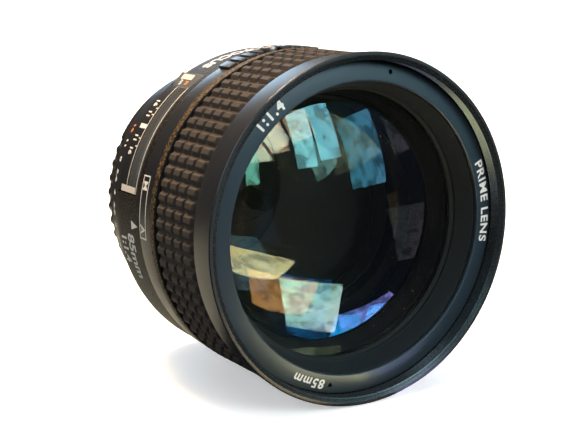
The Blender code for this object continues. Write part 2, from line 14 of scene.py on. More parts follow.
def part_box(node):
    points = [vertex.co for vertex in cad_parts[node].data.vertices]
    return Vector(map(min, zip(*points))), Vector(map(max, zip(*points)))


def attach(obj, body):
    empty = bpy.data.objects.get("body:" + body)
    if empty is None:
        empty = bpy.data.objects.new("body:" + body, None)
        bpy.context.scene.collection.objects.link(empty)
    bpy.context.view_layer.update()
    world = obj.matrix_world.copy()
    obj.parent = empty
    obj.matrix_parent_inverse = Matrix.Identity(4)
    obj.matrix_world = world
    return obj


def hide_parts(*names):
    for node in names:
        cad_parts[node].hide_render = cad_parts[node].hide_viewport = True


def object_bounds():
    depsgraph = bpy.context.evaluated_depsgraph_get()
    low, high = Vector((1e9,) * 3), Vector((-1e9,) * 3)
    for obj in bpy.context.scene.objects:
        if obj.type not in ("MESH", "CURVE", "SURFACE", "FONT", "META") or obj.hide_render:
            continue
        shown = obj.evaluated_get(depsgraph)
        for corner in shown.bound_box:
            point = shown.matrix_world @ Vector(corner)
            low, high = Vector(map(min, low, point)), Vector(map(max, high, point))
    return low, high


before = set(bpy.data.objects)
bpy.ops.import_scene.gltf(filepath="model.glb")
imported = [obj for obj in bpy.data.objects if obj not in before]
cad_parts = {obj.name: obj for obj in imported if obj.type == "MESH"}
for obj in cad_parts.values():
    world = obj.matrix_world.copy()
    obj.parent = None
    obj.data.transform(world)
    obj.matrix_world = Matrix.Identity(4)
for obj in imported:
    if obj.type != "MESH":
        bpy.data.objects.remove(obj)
cad_low, cad_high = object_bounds()

MM = 0.001
SEGMENTS = 192           # facets round the large rings
FINE = 720               # facets round the rings with a crinkled skin
PLATE_TOP = 38.0         # outer radius of the depth plate and the window
PLATE_END = -81.4        # angle of their lower end
RAMP_FOOT = -37.8        # angle of their upper end, at the foot of the ramp
BUTTON_ANGLE = -8.5      # place of the lock button
BUTTON_Y = -39.0


# ---- Camera --------------------------------------------------------

def build_camera():
    """Camera at the viewing angle of the finished picture."""
    data = bpy.data.cameras.new("camera")
    data.sensor_width = 36.0
    data.lens = 81.1
    data.clip_start = 0.01
    data.clip_end = 50.0
    camera = bpy.data.objects.new("camera", data)
    bpy.context.collection.objects.link(camera)
    camera.location = (-0.1623, -0.3052, 0.0579)
    forward = Vector((0.5104, 0.8391, -0.1884))
    camera.rotation_euler = forward.to_track_quat("-Z", "Y").to_euler()
    bpy.context.scene.camera = camera


# ---- Geometry helpers ----------------------------------------------

def polar(radius, angle, y):
    """Point at a radius and an angle about the optical axis, in metres."""
    turn = math.radians(angle)
    return Vector((radius * math.sin(turn), y, radius * math.cos(turn))) * MM


def span(node):
    """Front, back and outer radius of a CAD ring, in millimetres."""
    low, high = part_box(node)
    return low[1] / MM, high[1] / MM, high[2] / MM


def add_piece(name, bm, body, finishes, replaces=(), sharp=32.0):
    """Turn a bmesh into a visible piece that rides on one CAD body."""
    bmesh.ops.recalc_face_normals(bm, faces=bm.faces)
    mesh = bpy.data.meshes.new(name)
    bm.to_mesh(mesh)
    bm.free()
    item = bpy.data.objects.new(name, mesh)
    bpy.context.collection.objects.link(item)
    for material in finishes:
        mesh.materials.append(material)
    mesh.shade_smooth()
    mesh.set_sharp_from_angle(angle=math.radians(sharp))
    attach(item, body)
    if replaces:
        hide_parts(*replaces)
    return item


def soften(outline, default=0.1, steps=3):
    """Round the corners of a closed outline of (radius, y, zone, fillet) points."""
    full = [(p[0], p[1], p[2] if len(p) > 2 else 0, p[3] if len(p) > 3 else default)
            for p in outline]
    found = []
    for i, (r, y, zone, size) in enumerate(full):
        here = Vector((r, y))
        before = Vector(full[i - 1][:2])
        after = Vector(full[(i + 1) % len(full)][:2])
        back, ahead = before - here, after - here
        reach = min(size, back.length * 0.45, ahead.length * 0.45)
        if reach < 0.004 or r == 0.0 or back.normalized().dot(ahead.normalized()) < -0.995:
            found.append((r, y, zone))
            continue
        start = here + back.normalized() * reach
        end = here + ahead.normalized() * reach
        for k in range(steps + 1):
            t = k / steps
            point = start * (1 - t) ** 2 + here * 2 * t * (1 - t) + end * t ** 2
            found.append((point.x, point.y, full[i - 1][2] if 2 * k < steps else zone))
    return found


def revolve_mesh(outline, segments=SEGMENTS):
    """Bmesh of a closed (radius, y, zone) outline turned about the optical axis."""
    bm = bmesh.new()
    rings = []
    for radius, y, _ in outline:
        count = segments if radius > 0.0 else 1
        rings.append([bm.verts.new(polar(radius, 360.0 * i / segments, y)) for i in range(count)])
    for index, first in enumerate(rings):
        second = rings[(index + 1) % len(rings)]
        if len(first) == 1 and len(second) == 1:
            continue
        for i in range(segments):
            j = (i + 1) % segments
            corners = [first[i % len(first)], first[j % len(first)],
                       second[j % len(second)], second[i % len(second)]]
            unique = [v for k, v in enumerate(corners) if v not in corners[:k]]
            face = bm.faces.new(unique)
            face.material_index = outline[index][2]
    return bm


def revolve(name, outline, body, finishes, replaces=(), fillet=0.1, steps=3,
            segments=SEGMENTS):
    """Piece turned about the optical axis, with softened corners."""
    bm = revolve_mesh(soften(outline, fillet, steps), segments)
    return add_piece(name, bm, body, finishes, replaces)


def divide(outline, longest, zones):
    """Split long segments of a (radius, y, zone) outline in the chosen zones."""
    found = []
    for i, (r, y, zone) in enumerate(outline):
        r2, y2, _ = outline[(i + 1) % len(outline)]
        parts = math.ceil(math.hypot(r2 - r, y2 - y) / longest)
        count = max(1, parts) if zone in zones else 1
        for k in range(count):
            found.append((r + (r2 - r) * k / count, y + (y2 - y) * k / count, zone))
    return found


def crinkled(name, outline, body, finishes, rough_zones, amount, replaces):
    """Turned piece whose chosen zones have a real, bumpy crinkle skin."""
    rows = divide(soften(outline), 0.3, rough_zones)
    bm = revolve_mesh(rows, FINE)
    touched = set()
    for face in bm.faces:
        if face.material_index in rough_zones:
            touched.update(face.verts)
    edge = {v for face in bm.faces if face.material_index not in rough_zones
            for v in face.verts}
    for vert in touched - edge:
        cell = noise.noise(vert.co / MM * 2.1) + 0.5 * noise.noise(vert.co / MM * 4.7)
        outward = Vector((vert.co.x, 0.0, vert.co.z)).normalized()
        vert.co += outward * (cell - 0.6) * amount * MM
    return add_piece(name, bm, body, finishes, replaces, sharp=60.0)


def block(loop, y0, y1):
    """Bmesh plate across the axis, from y0 to y1, with an (x, z) loop in millimetres."""
    bm = bmesh.new()
    verts = [bm.verts.new((x * MM, y0 * MM, z * MM)) for x, z in loop]
    edges = [bm.edges.new((vert, verts[(i + 1) % len(verts)])) for i, vert in enumerate(verts)]
    bmesh.ops.triangle_fill(bm, edges=edges, use_beauty=True, normal=(0.0, -1.0, 0.0))
    grown = bmesh.ops.extrude_face_region(bm, geom=list(bm.faces))
    moved = [part for part in grown["geom"] if isinstance(part, bmesh.types.BMVert)]
    bmesh.ops.translate(bm, verts=moved, vec=(0.0, (y1 - y0) * MM, 0.0))
    bmesh.ops.recalc_face_normals(bm, faces=bm.faces)
    return bm


def flat(radius, angle):
    """Polar position as (x, z) millimetres."""
    turn = math.radians(angle)
    return radius * math.sin(turn), radius * math.cos(turn)


def arc(radius, start, end, steps):
    """Points along an arc about the axis."""
    return [flat(radius, start + (end - start) * i / steps) for i in range(steps + 1)]


def sector(r0, r1, start, end, y0, y1, steps=24):
    """Bmesh of a curved block."""
    loop = arc(r1, start, end, steps) + arc(r0, end, start, steps)
    return block(loop, y0, y1)


def rod(radius, start, end, steps=32):
    """Bmesh cylinder between two points in metres."""
    axis = end - start
    bm = bmesh.new()
    bmesh.ops.create_cone(bm, cap_ends=True, segments=steps, radius1=radius * MM,
                          radius2=radius * MM, depth=axis.length)
    turn = axis.to_track_quat("Z", "Y").to_matrix().to_4x4()
    bm.transform(Matrix.Translation((start + end) / 2.0) @ turn)
    return bm


def cut(item, bm):
    """Take a bmesh's shape out of a piece."""
    bmesh.ops.recalc_face_normals(bm, faces=bm.faces)
    mesh = bpy.data.meshes.new("cutter")
    bm.to_mesh(mesh)
    bm.free()
    mesh.materials.append(item.data.materials[0])
    tool = bpy.data.objects.new("cutter", mesh)
    bpy.context.collection.objects.link(tool)
    step = item.modifiers.new("cut", "BOOLEAN")
    step.operation = "DIFFERENCE"
    step.solver = "EXACT"
    step.object = tool
    apply_modifiers(item, 32.0)
    bpy.data.objects.remove(tool, do_unlink=True)


def apply_modifiers(item, sharp):
    """Keep the evaluated shape as the piece's own mesh."""
    bpy.context.view_layer.update()
    graph = bpy.context.evaluated_depsgraph_get()
    mesh = bpy.data.meshes.new_from_object(item.evaluated_get(graph))
    old = item.data
    item.modifiers.clear()
    item.data = mesh
    bpy.data.meshes.remove(old)
    mesh.shade_smooth()
    mesh.set_sharp_from_angle(angle=math.radians(sharp))


def round_edges(item, width):
    """Small round on every sharp edge of a piece."""
    step = item.modifiers.new("edges", "BEVEL")
    step.width = width * MM
    step.segments = 3
    step.limit_method = "ANGLE"
    apply_modifiers(item, 40.0)


# ---- Finishes ------------------------------------------------------

class Nodes:
    """Small wrapper that adds and links shader nodes of one material."""

    def __init__(self, name):
        self.material = bpy.data.materials.new(name)
        self.material.use_nodes = True
        self.tree = self.material.node_tree
        self.shader = self.tree.nodes["Principled BSDF"]
        self.coords = self.add("ShaderNodeTexCoord").outputs["Object"]

    def add(self, kind, **values):
        node = self.tree.nodes.new(kind)
        for key, value in values.items():
            if hasattr(node, key):
                setattr(node, key, value)
            else:
                node.inputs[key.replace("_", " ")].default_value = value
        return node

    def link(self, source, target):
        self.tree.links.new(source, target)

    def noise(self, size, detail=2.0, rough=0.5, coords=None):
        node = self.add("ShaderNodeTexNoise", Scale=1.0 / (size * MM), Detail=detail,
                        Roughness=rough)
        self.link(coords or self.coords, node.inputs["Vector"])
        return node.outputs["Fac"]

    def cells(self, size):
        node = self.add("ShaderNodeTexVoronoi", feature="SMOOTH_F1", Scale=1.0 / (size * MM))
        self.link(self.coords, node.inputs["Vector"])
        return node.outputs["Distance"]

    def ramp(self, value, low, high, first, second):
        node = self.add("ShaderNodeMapRange", From_Min=low, From_Max=high, To_Min=first,
                        To_Max=second)
        self.link(value, node.inputs["Value"])
        return node.outputs["Result"]

    def mix(self, factor, first, second):
        node = self.add("ShaderNodeMix", data_type="RGBA")
        self.link(factor, node.inputs[0])
        node.inputs[6].default_value = (*first, 1.0)
        node.inputs[7].default_value = (*second, 1.0)
        return node.outputs[2]

    def bump(self, height, strength, depth):
        node = self.add("ShaderNodeBump", Strength=strength, Distance=depth * MM)
        self.link(height, node.inputs["Height"])
        return node.outputs["Normal"]

    def set(self, **values):
        for key, value in values.items():
            self.shader.inputs[key.replace("_", " ")].default_value = value


def painted(name, colour, shade, roughness, grain=0.25, bump=0.1, depth=0.02, specular=0.5,
            sheen=(1.0, 1.0, 1.0)):
    """Satin or matte painted surface with faint mottling and fine grain."""
    n = Nodes(name)
    n.link(n.mix(n.noise(3.0, 4.0), colour, shade), n.shader.inputs["Base Color"])
    fine = n.noise(grain, 3.0)
    n.link(n.ramp(fine, 0.3, 0.7, roughness - 0.05, roughness + 0.06),
           n.shader.inputs["Roughness"])
    n.link(n.bump(fine, bump, depth), n.shader.inputs["Normal"])
    n.set(Specular_IOR_Level=specular, Specular_Tint=(*sheen, 1.0))
    return n.material


def crinkle(name, valley, crest):
    """Wrinkle-finish enamel: rounded grains, with painted shade darkening the valleys between them
    and the crests left lighter.
    """
    size = 0.5
    n = Nodes(name)
    grains = n.ramp(n.cells(size), 0.05, 0.55, 1.0, 0.0)
    wrinkle = n.noise(size * 1.3, 3.0, 0.65)
    joined = n.add("ShaderNodeMath", operation="MULTIPLY")
    n.link(grains, joined.inputs[0])
    n.link(n.ramp(wrinkle, 0.32, 0.62, 0.15, 1.0), joined.inputs[1])
    # The grain mask that raises the bumps also mixes the colours: the valley colour is painted shade
    # in the hollows, the crest colour the lit grain tops.
    n.link(n.mix(joined.outputs[0], valley, crest), n.shader.inputs["Base Color"])
    n.link(n.bump(joined.outputs[0], 1.0, 0.09), n.shader.inputs["Normal"])
    n.link(n.ramp(wrinkle, 0.3, 0.7, 0.44, 0.58), n.shader.inputs["Roughness"])
    n.set(Specular_IOR_Level=0.2)
    return n.material


def turned_metal(name, colour, shade, roughness):
    """Machined metal with fine turning marks round the optical axis."""
    spacing = 0.06
    n = Nodes(name)
    parts = n.add("ShaderNodeSeparateXYZ")
    n.link(n.coords, parts.inputs[0])
    across = n.add("ShaderNodeVectorMath", operation="MULTIPLY")
    n.link(n.coords, across.inputs[0])
    across.inputs[1].default_value = (1.0, 0.0, 1.0)
    radius = n.add("ShaderNodeVectorMath", operation="LENGTH")
    n.link(across.outputs["Vector"], radius.inputs[0])
    join = n.add("ShaderNodeCombineXYZ")
    n.link(radius.outputs["Value"], join.inputs[0])
    n.link(parts.outputs["Y"], join.inputs[1])
    marks = n.noise(spacing, 2.0, 0.5, join.outputs[0])
    n.link(n.mix(n.noise(4.0, 4.0), colour, shade), n.shader.inputs["Base Color"])
    n.link(n.ramp(marks, 0.3, 0.7, roughness * 0.8, roughness * 1.3),
           n.shader.inputs["Roughness"])
    n.link(n.bump(marks, 0.12, 0.01), n.shader.inputs["Normal"])
    n.set(Metallic=1.0)
    return n.material


def glass(name, colour, index, film, film_index=1.38):
    """Polished optical glass; a film of so many nanometres tints what it reflects."""
    n = Nodes(name)
    n.link(n.mix(n.noise(20.0, 2.0), colour, tuple(c * 0.985 for c in colour)),
           n.shader.inputs["Base Color"])
    n.set(Roughness=0.0, IOR=index, Transmission_Weight=1.0, Thin_Film_Thickness=film,
          Thin_Film_IOR=film_index)
    return n.material


def window(name):
    """Thin clear plastic, seen mostly by what it reflects."""
    n = Nodes(name)
    n.link(n.mix(n.noise(8.0, 2.0), (0.5, 0.52, 0.52), (0.55, 0.57, 0.57)),
           n.shader.inputs["Base Color"])
    n.link(n.ramp(n.noise(3.0, 2.0), 0.3, 0.7, 0.07, 0.09), n.shader.inputs["Roughness"])
    n.set(Alpha=0.06, IOR=1.49)
    return n.material


def build_finishes():
    """Every material, by name."""
    return {
        "satin": painted("satin_paint", (0.010, 0.011, 0.013), (0.014, 0.015, 0.017), 0.36),
        "ring": painted("ring_paint", (0.010, 0.011, 0.014), (0.014, 0.016, 0.019), 0.40,
                        grain=0.18, bump=0.15),
        "rim": painted("rim_edge", (0.014, 0.016, 0.019), (0.020, 0.022, 0.026), 0.2,
                       grain=0.18, bump=0.05, specular=0.9),
        # The blue base colour is painted reflection of blue window light on the black paint.
        "name": painted("name_paint_blue_reflection", (0.013, 0.022, 0.031), (0.017, 0.026, 0.036), 0.42,
                        grain=0.3, bump=0.06, sheen=(0.72, 0.93, 1.0)),
        "scale": painted("scale_paint", (0.046, 0.060, 0.072), (0.052, 0.066, 0.078), 0.6,
                         grain=0.6, bump=0.01),
        "matte": painted("matte_paint", (0.010, 0.0105, 0.010), (0.014, 0.0145, 0.014), 0.75,
                         grain=0.12, bump=0.3),
        "flock": painted("baffle_paint", (0.0065, 0.0085, 0.0098), (0.009, 0.0115, 0.013), 0.68,
                         grain=0.1, bump=0.3, specular=0.22, sheen=(0.78, 0.94, 1.0)),
        "thread": painted("thread_paint", (0.008, 0.009, 0.010), (0.011, 0.012, 0.013), 0.27,
                          specular=0.6, sheen=(0.62, 0.88, 1.0)),
        "plastic": painted("moulded_plastic", (0.012, 0.012, 0.012), (0.017, 0.017, 0.017), 0.55),
        "rubber": painted("rubber", (0.040, 0.033, 0.029), (0.056, 0.046, 0.039), 0.66,
                          grain=0.16, bump=0.35, depth=0.03, specular=0.18),
        # Both crinkle finishes carry painted shade in their valleys and lighter, lit-looking crests.
        "crinkle": crinkle("crinkle_enamel", (0.007, 0.006, 0.006), (0.040, 0.034, 0.029)),
        # The collar's tan crest colour is painted warm light on the black crinkle enamel.
        "collar": crinkle("crinkle_collar_painted_warm_light", (0.020, 0.014, 0.009), (0.26, 0.165, 0.08)),
        "alloy": turned_metal("dark_alloy", (0.10, 0.10, 0.105), (0.14, 0.14, 0.145), 0.4),
        "steel": turned_metal("bright_steel", (0.55, 0.55, 0.56), (0.66, 0.66, 0.67), 0.3),
        "chrome": turned_metal("satin_chrome", (0.72, 0.72, 0.73), (0.80, 0.80, 0.80), 0.2),
        "brass": turned_metal("brass", (0.60, 0.43, 0.18), (0.68, 0.50, 0.22), 0.3),
        "gold": turned_metal("gold_contact", (0.83, 0.62, 0.24), (0.90, 0.70, 0.30), 0.22),
        "blade": painted("blackened_blade", (0.008, 0.008, 0.009), (0.012, 0.012, 0.013), 0.6),
        "white": painted("white_filling", (0.74, 0.72, 0.66), (0.80, 0.78, 0.72), 0.5),
        "cream": painted("cream_filling", (0.62, 0.58, 0.49), (0.70, 0.66, 0.56), 0.5),
        "orange": painted("orange_filling", (0.75, 0.22, 0.05), (0.82, 0.27, 0.07), 0.5),
        "edge": painted("glass_edge_ink", (0.006, 0.006, 0.006), (0.010, 0.010, 0.010), 0.6),
        "front_coat": glass("glass_front_coat", (0.99, 1.0, 0.995), 1.60, 345.0, 1.47),
        "cyan_coat": glass("glass_cyan_coat", (0.99, 1.0, 0.995), 1.60, 337.0, 1.42),
        "violet_coat": glass("glass_violet_coat", (0.99, 1.0, 0.995), 1.60, 290.0),
        "amber_coat": glass("glass_amber_coat", (0.995, 1.0, 0.99), 1.70, 240.0),
        "dim_coat": glass("glass_dim_coat", (0.99, 1.0, 0.99), 1.60, 108.0, 1.29),
        "straw_coat": glass("glass_straw_coat", (1.0, 1.0, 0.985), 1.62, 76.0, 1.38),
        "clear": window("clear_plastic"),
        "ramp": painted("ramp_plastic", (0.055, 0.062, 0.066), (0.065, 0.072, 0.076), 0.45),
    }


# ---- Front of the lens ---------------------------------------------

def build_front_ring(f):
    """Front rim with its filter thread and the crinkled edge behind it."""
    front, back, rim = span("front_barrel")
    thread = rim - 1.95
    outline = [(rim - 0.22, front, 4, 0.05), (rim, front + 0.25, 0, 0.08),
               (rim - 0.45, front + 6.0, 0, 0.4), (rim - 0.75, back - 1.0, 1, 0.1),
               (rim - 1.3, back, 2, 0.2), (rim - 4.8, back, 2), (rim - 4.8, front + 5.9, 2),
               (rim - 3.15, front + 5.9, 2), (rim - 3.15, front + 4.4, 2),
               (thread, front + 4.4, 3)]
    for crest in (3.3, 2.6, 1.9, 1.2):
        outline += [(thread, front + crest + 0.08, 3, 0.02),
                    (thread + 0.36, front + crest - 0.24, 3, 0.05),
                    (thread, front + crest - 0.56, 3, 0.02)]
    outline += [(thread + 0.3, front + 0.5, 3, 0.05), (thread + 1.05, front, 0, 0.08)]
    # The crinkled zone 1 takes the collar finish, whose tan crests are painted warm light.
    crinkled("front_ring", outline, "barrel",
             [f["ring"], f["collar"], f["matte"], f["thread"], f["rim"]], {1}, 0.16,
             ["front_barrel"])


def build_name_plate(f):
    """Gently sloping name ring with its spanner holes and lettering."""
    front, back, edge = span("name_ring")
    inner = edge - 4.5
    outline = [(edge, front + 0.9, 0, 0.06), (inner + 0.25, front, 0, 0.15),
               (inner, front + 0.3, 0, 0.1), (inner + 0.05, front + 1.15, 0),
               (edge - 2.3, front + 1.15, 0), (edge - 2.3, back, 0), (edge - 1.3, back, 0),
               (edge - 1.3, front + 1.45, 0), (edge, front + 1.45, 0)]
    plate = revolve("name_plate", outline, "barrel", [f["name"]], ["name_ring"])
    middle = edge - 1.9
    for angle in (12.5, 192.5):
        cut(plate, rod(0.55, polar(middle, angle, front - 0.5),
                       polar(middle, angle, front + 1.6)))

    def on_plate(angle):
        def place(x, y, z):
            radius = middle + y
            depth = front + (radius - inner - 0.25) * 0.9 / 4.25
            return polar(radius, angle + math.degrees(x / middle), depth - 0.01 - z)
        return place

    lettering("name_speed", "1:1.4", 3.5, on_plate(-41.0), "barrel", f["white"], spacing=1.22)
    lettering("name_title", "PRIME LENS", 3.5, on_plate(84.5), "barrel", f["white"],
              spacing=1.12, bold=0.05)
    lettering("name_length", "85mm", 3.1, on_plate(-157.9), "barrel", f["white"], spacing=1.18,
              bold=0.05)


def build_front_baffle(f):
    """Black cone between the name ring and the front glass, and the ring that holds the glass."""
    front, back, edge = span("front_baffle")
    outline = [(edge - 1.75, front, 0, 0.1), (edge - 3.2, back - 0.9, 0, 0.05)]
    for step in range(3):
        outline += [(edge - 3.2 - 0.09 * step, back - 0.8 + 0.25 * step, 0, 0.02),
                    (edge - 3.29 - 0.09 * step, back - 0.75 + 0.25 * step, 0, 0.02)]
    outline += [(edge - 1.9, back, 0), (edge - 1.9, front + 1.8, 0), (edge, front + 1.8, 0),
                (edge, front, 0)]
    revolve("light_baffle", outline, "barrel", [f["flock"]], ["front_baffle"])
    front, back, edge = span("front_retaining_ring")
    revolve("glass_retainer", [(edge - 0.5, front, 0), (edge - 1.1, back, 0), (edge, back, 0),
                               (edge, front, 0)], "barrel", [f["flock"]],
            ["front_retaining_ring"], fillet=0.06)


def sag(radius, curve):
    """Depth of a spherical surface at a radius; zero curve means flat."""
    if not curve:
        return 0.0
    depth = abs(curve) - math.sqrt(curve * curve - radius * radius)
    return math.copysign(depth, curve)


def element(number, body, edge, front, front_curve, rear, rear_curve, coats, edge_finish,
            rear_edge=None):
    """Polished glass element; a positive curve bulges towards the front at that surface."""
    node = f"lens_{number}"
    rear_edge = rear_edge or edge
    rings = 16
    outline = []
    for i in range(rings + 1):
        r = edge * i / rings
        outline.append((r, front + sag(r, front_curve), 0 if i < rings else 2))
    if rear_edge < edge:
        outline.append((edge, rear + sag(rear_edge, rear_curve), 2))
    for i in range(rings, -1, -1):
        r = rear_edge * i / rings
        outline.append((r, rear + sag(r, rear_curve), 1))
    bm = revolve_mesh(outline, 144)
    return add_piece(f"glass_element_{number}", bm, body, [*coats, edge_finish], [node],
                     sharp=20.0)


def build_glass(f):
    """All nine elements, front group on the barrel and rear group on the sliding cell."""
    cyan, violet, amber = f["cyan_coat"], f["violet_coat"], f["amber_coat"]
    ink = f["edge"]
    element(1, "barrel", 31.0, -68.4, 75.1, -59.9, 400.0, (f["front_coat"], f["dim_coat"]), ink)
    element(2, "barrel", 26.5, -59.3, 48.0, -52.5, 140.0, (f["straw_coat"], amber), ink)
    element(3, "barrel", 21.5, -52.0, 38.0, -49.6, 24.0, (amber, cyan), ink, rear_edge=17.5)
    element(4, "rear_group", 17.0, -27.1, -40.0, -25.6, 70.0, (cyan, cyan), ink)
    element(5, "rear_group", 17.0, -25.35, 70.0, -18.9, -45.0, (cyan, violet), ink)
    element(6, "rear_group", 17.0, -18.4, 200.0, -13.9, -60.0, (violet, amber), ink)
    element(7, "rear_group", 17.0, -13.4, 90.0, -9.3, -90.0, (amber, violet), ink)
    element(8, "rear_group", 17.0, -8.8, 120.0, -6.2, 0.0, (violet, cyan), ink)
    element(9, "rear_group", 17.0, -5.8, 0.0, -4.2, 90.0, (amber, violet), ink)


def build_front_cell(f):
    """Stepped and finely grooved cell seen through the front glass."""
    front, back, edge = span("front_cell")
    outline = [(edge - 0.8, front, 0), (edge - 0.8, front + 1.05, 0), (edge - 1.8, front + 1.05, 0),
               (edge - 1.8, front + 4.6, 0), (edge - 3.2, front + 4.6, 0)]
    steps = 11
    for i in range(steps):
        r = edge - 3.2 - 3.1 * i / steps
        y = front + 4.6 + 6.2 * i / steps
        outline += [(r - 0.02, y + 0.5, 0, 0.02), (r - 0.28, y + 0.54, 0, 0.02)]
    outline += [(edge - 6.3, front + 10.8, 0), (edge - 6.3, front + 13.3, 0),
                (edge - 7.9, front + 13.3, 0), (edge - 11.3, front + 16.8, 0),
                (edge - 11.3, back, 0), (edge - 4.6, back, 0), (edge - 4.6, back - 1.4, 0),
                (edge, back - 1.4, 0), (edge, front, 0)]
    revolve("front_cell_shell", outline, "barrel", [f["flock"]], ["front_cell"],
            fillet=0.08, steps=2, segments=144)


# ---- Lettering -----------------------------------------------------

def lettering(name, text, size, place, body, material, spacing=1.0, bold=0.07):
    """Filled lettering laid on a surface; place maps text (x, y, height) to the surface."""
    curve = bpy.data.curves.new(name, "FONT")
    curve.body = text
    curve.size = size
    curve.align_x = "CENTER"
    curve.align_y = "CENTER"
    curve.offset = bold * size / 2.0
    curve.space_character = spacing
    curve.extrude = 0.01
    curve.resolution_u = 5
    source = bpy.data.objects.new(name + "_source", curve)
    bpy.context.collection.objects.link(source)
    graph = bpy.context.evaluated_depsgraph_get()
    mesh = bpy.data.meshes.new_from_object(source.evaluated_get(graph))
    bpy.data.objects.remove(source, do_unlink=True)
    bm = bmesh.new()
    bm.from_mesh(mesh)
    bpy.data.meshes.remove(mesh)
    middle = (min(v.co.y for v in bm.verts) + max(v.co.y for v in bm.verts)) / 2.0
    bmesh.ops.remove_doubles(bm, verts=bm.verts, dist=0.0005)
    for vert in bm.verts:
        vert.co = place(vert.co.x, vert.co.y - middle, vert.co.z + 0.01)
    return add_piece(name, bm, body, [material])


def on_barrel(angle, y, radius, slope=0.0):
    """Placement on a cylinder, or on a cone that grows by slope per millimetre forwards."""
    def place(across, up, height):
        around = math.degrees(across / radius)
        return polar(radius + slope * up + height + 0.01, angle - around, y - up)
    return place


def ramp_height(angle):
    """Radius of the slope at the upper end of the window."""
    return 37.5 + (-37.2 - angle) * 0.92 / -5.9


def on_ramp(angle, y):
    """Placement on the slope at the upper end of the window."""
    def place(across, up, height):
        turned = angle - math.degrees(across / PLATE_TOP)
        return polar(ramp_height(turned) + height + 0.02, turned, y - up)
    return place


class Marks:
    """Painted lines, blocks and shapes laid on a cylinder, gathered into one piece."""

    thickness = 0.03

    def __init__(self, radius):
        self.bm = bmesh.new()
        self.low = radius
        self.high = radius + self.thickness

    def patch(self, start, end, y0, y1):
        """Curved rectangle between two angles and two positions along the axis."""
        steps = max(1, math.ceil(abs(end - start) / 1.5))
        rows = []
        for i in range(steps + 1):
            angle = start + (end - start) * i / steps
            rows.append([self.bm.verts.new(polar(radius, angle, y))
                         for y, radius in ((y0, self.low), (y0, self.high),
                                           (y1, self.high), (y1, self.low))])
        for first, second in zip(rows, rows[1:]):
            for k in range(4):
                m = (k + 1) % 4
                self.bm.faces.new((first[k], first[m], second[m], second[k]))
        self.bm.faces.new(rows[0])
        self.bm.faces.new(rows[-1][::-1])

    def shape(self, corners):
        """Filled polygon of (angle, y) corners."""
        low = [self.bm.verts.new(polar(self.low, a, y)) for a, y in corners]
        high = [self.bm.verts.new(polar(self.high, a, y)) for a, y in corners]
        self.bm.faces.new(low)
        self.bm.faces.new(high[::-1])
        for k in range(len(corners)):
            m = (k + 1) % len(corners)
            self.bm.faces.new((low[k], high[k], high[m], low[m]))

    def done(self, name, body, material):
        return add_piece(name, self.bm, body, [material])


# ---- Focus ring ----------------------------------------------------

def build_focus_ring(f):
    """Metal focus ring, seen only in the slits at both ends of the rubber."""
    front, back, outer = span("focus_ring")
    shoulder = back - 3.6
    outline = [(outer - 3.1, front, 0), (outer, front, 0, 0.05), (outer, shoulder, 0),
               (outer - 2.0, shoulder, 0), (outer - 2.0, back, 0), (outer - 3.1, back, 0)]
    revolve("focus_sleeve", outline, "focus_ring", [f["satin"]], ["focus_ring"])


def rib_height(share):
    """Height of a rubber rib at a share of its pitch: floor, sloping side, flat top, side."""
    points = ((0.0, 0.0), (0.06, 0.0), (0.29, 0.93), (0.33, 1.0), (0.67, 1.0), (0.71, 0.93),
              (0.94, 0.0), (1.0, 0.0))
    for (s0, h0), (s1, h1) in zip(points, points[1:]):
        if share <= s1:
            return h0 + (h1 - h0) * (share - s0) / (s1 - s0)
    return 0.0


def build_rubber(f):
    """Rubber sleeve: eighty ribs, each notched into four pads."""
    front, back, outer = span("focus_grip")
    ribs = 80
    depth = 0.82
    floor = outer - depth
    samples = (0.0, 0.06, 0.14, 0.215, 0.29, 0.33, 0.50, 0.67, 0.71, 0.785, 0.86, 0.94)
    notches = (-49.5, -53.7, -57.9)
    rows = [(back, 0.15), (back - 0.12, 0.55), (back - 0.3, 1.0)]
    for notch in notches:
        for offset, height in ((0.66, 1.0), (0.58, 0.93), (0.42, 0.50), (0.30, 0.16),
                               (0.0, 0.12), (-0.44, 0.16), (-0.58, 0.52), (-0.70, 0.93),
                               (-0.78, 1.0)):
            rows.append((notch + offset, height))
    rows += [(front + 1.0, 1.0), (front + 0.82, 0.9), (front + 0.35, 0.12), (front + 0.2, 0.0),
             (front, 0.0)]
    bm = bmesh.new()
    grid = []
    for y, cap in rows:
        ring = []
        for i in range(ribs):
            for share in samples:
                height = min(rib_height(share), cap)
                ring.append(bm.verts.new(polar(floor + depth * height,
                                               (i + share) * 360.0 / ribs, y)))
        grid.append(ring)
    inner = floor - 0.05
    for y in (front, back):
        grid.append([bm.verts.new(polar(inner, (i + share) * 360.0 / ribs, y))
                     for i in range(ribs) for share in samples])
    count = ribs * len(samples)
    for first, second in zip(grid, grid[1:] + grid[:1]):
        for i in range(count):
            j = (i + 1) % count
            bm.faces.new((first[i], first[j], second[j], second[i]))
    add_piece("rubber_sleeve", bm, "focus_ring", [f["rubber"]], ["focus_grip"],
              sharp=20.0)


# ---- Switch ring and collar ----------------------------------------

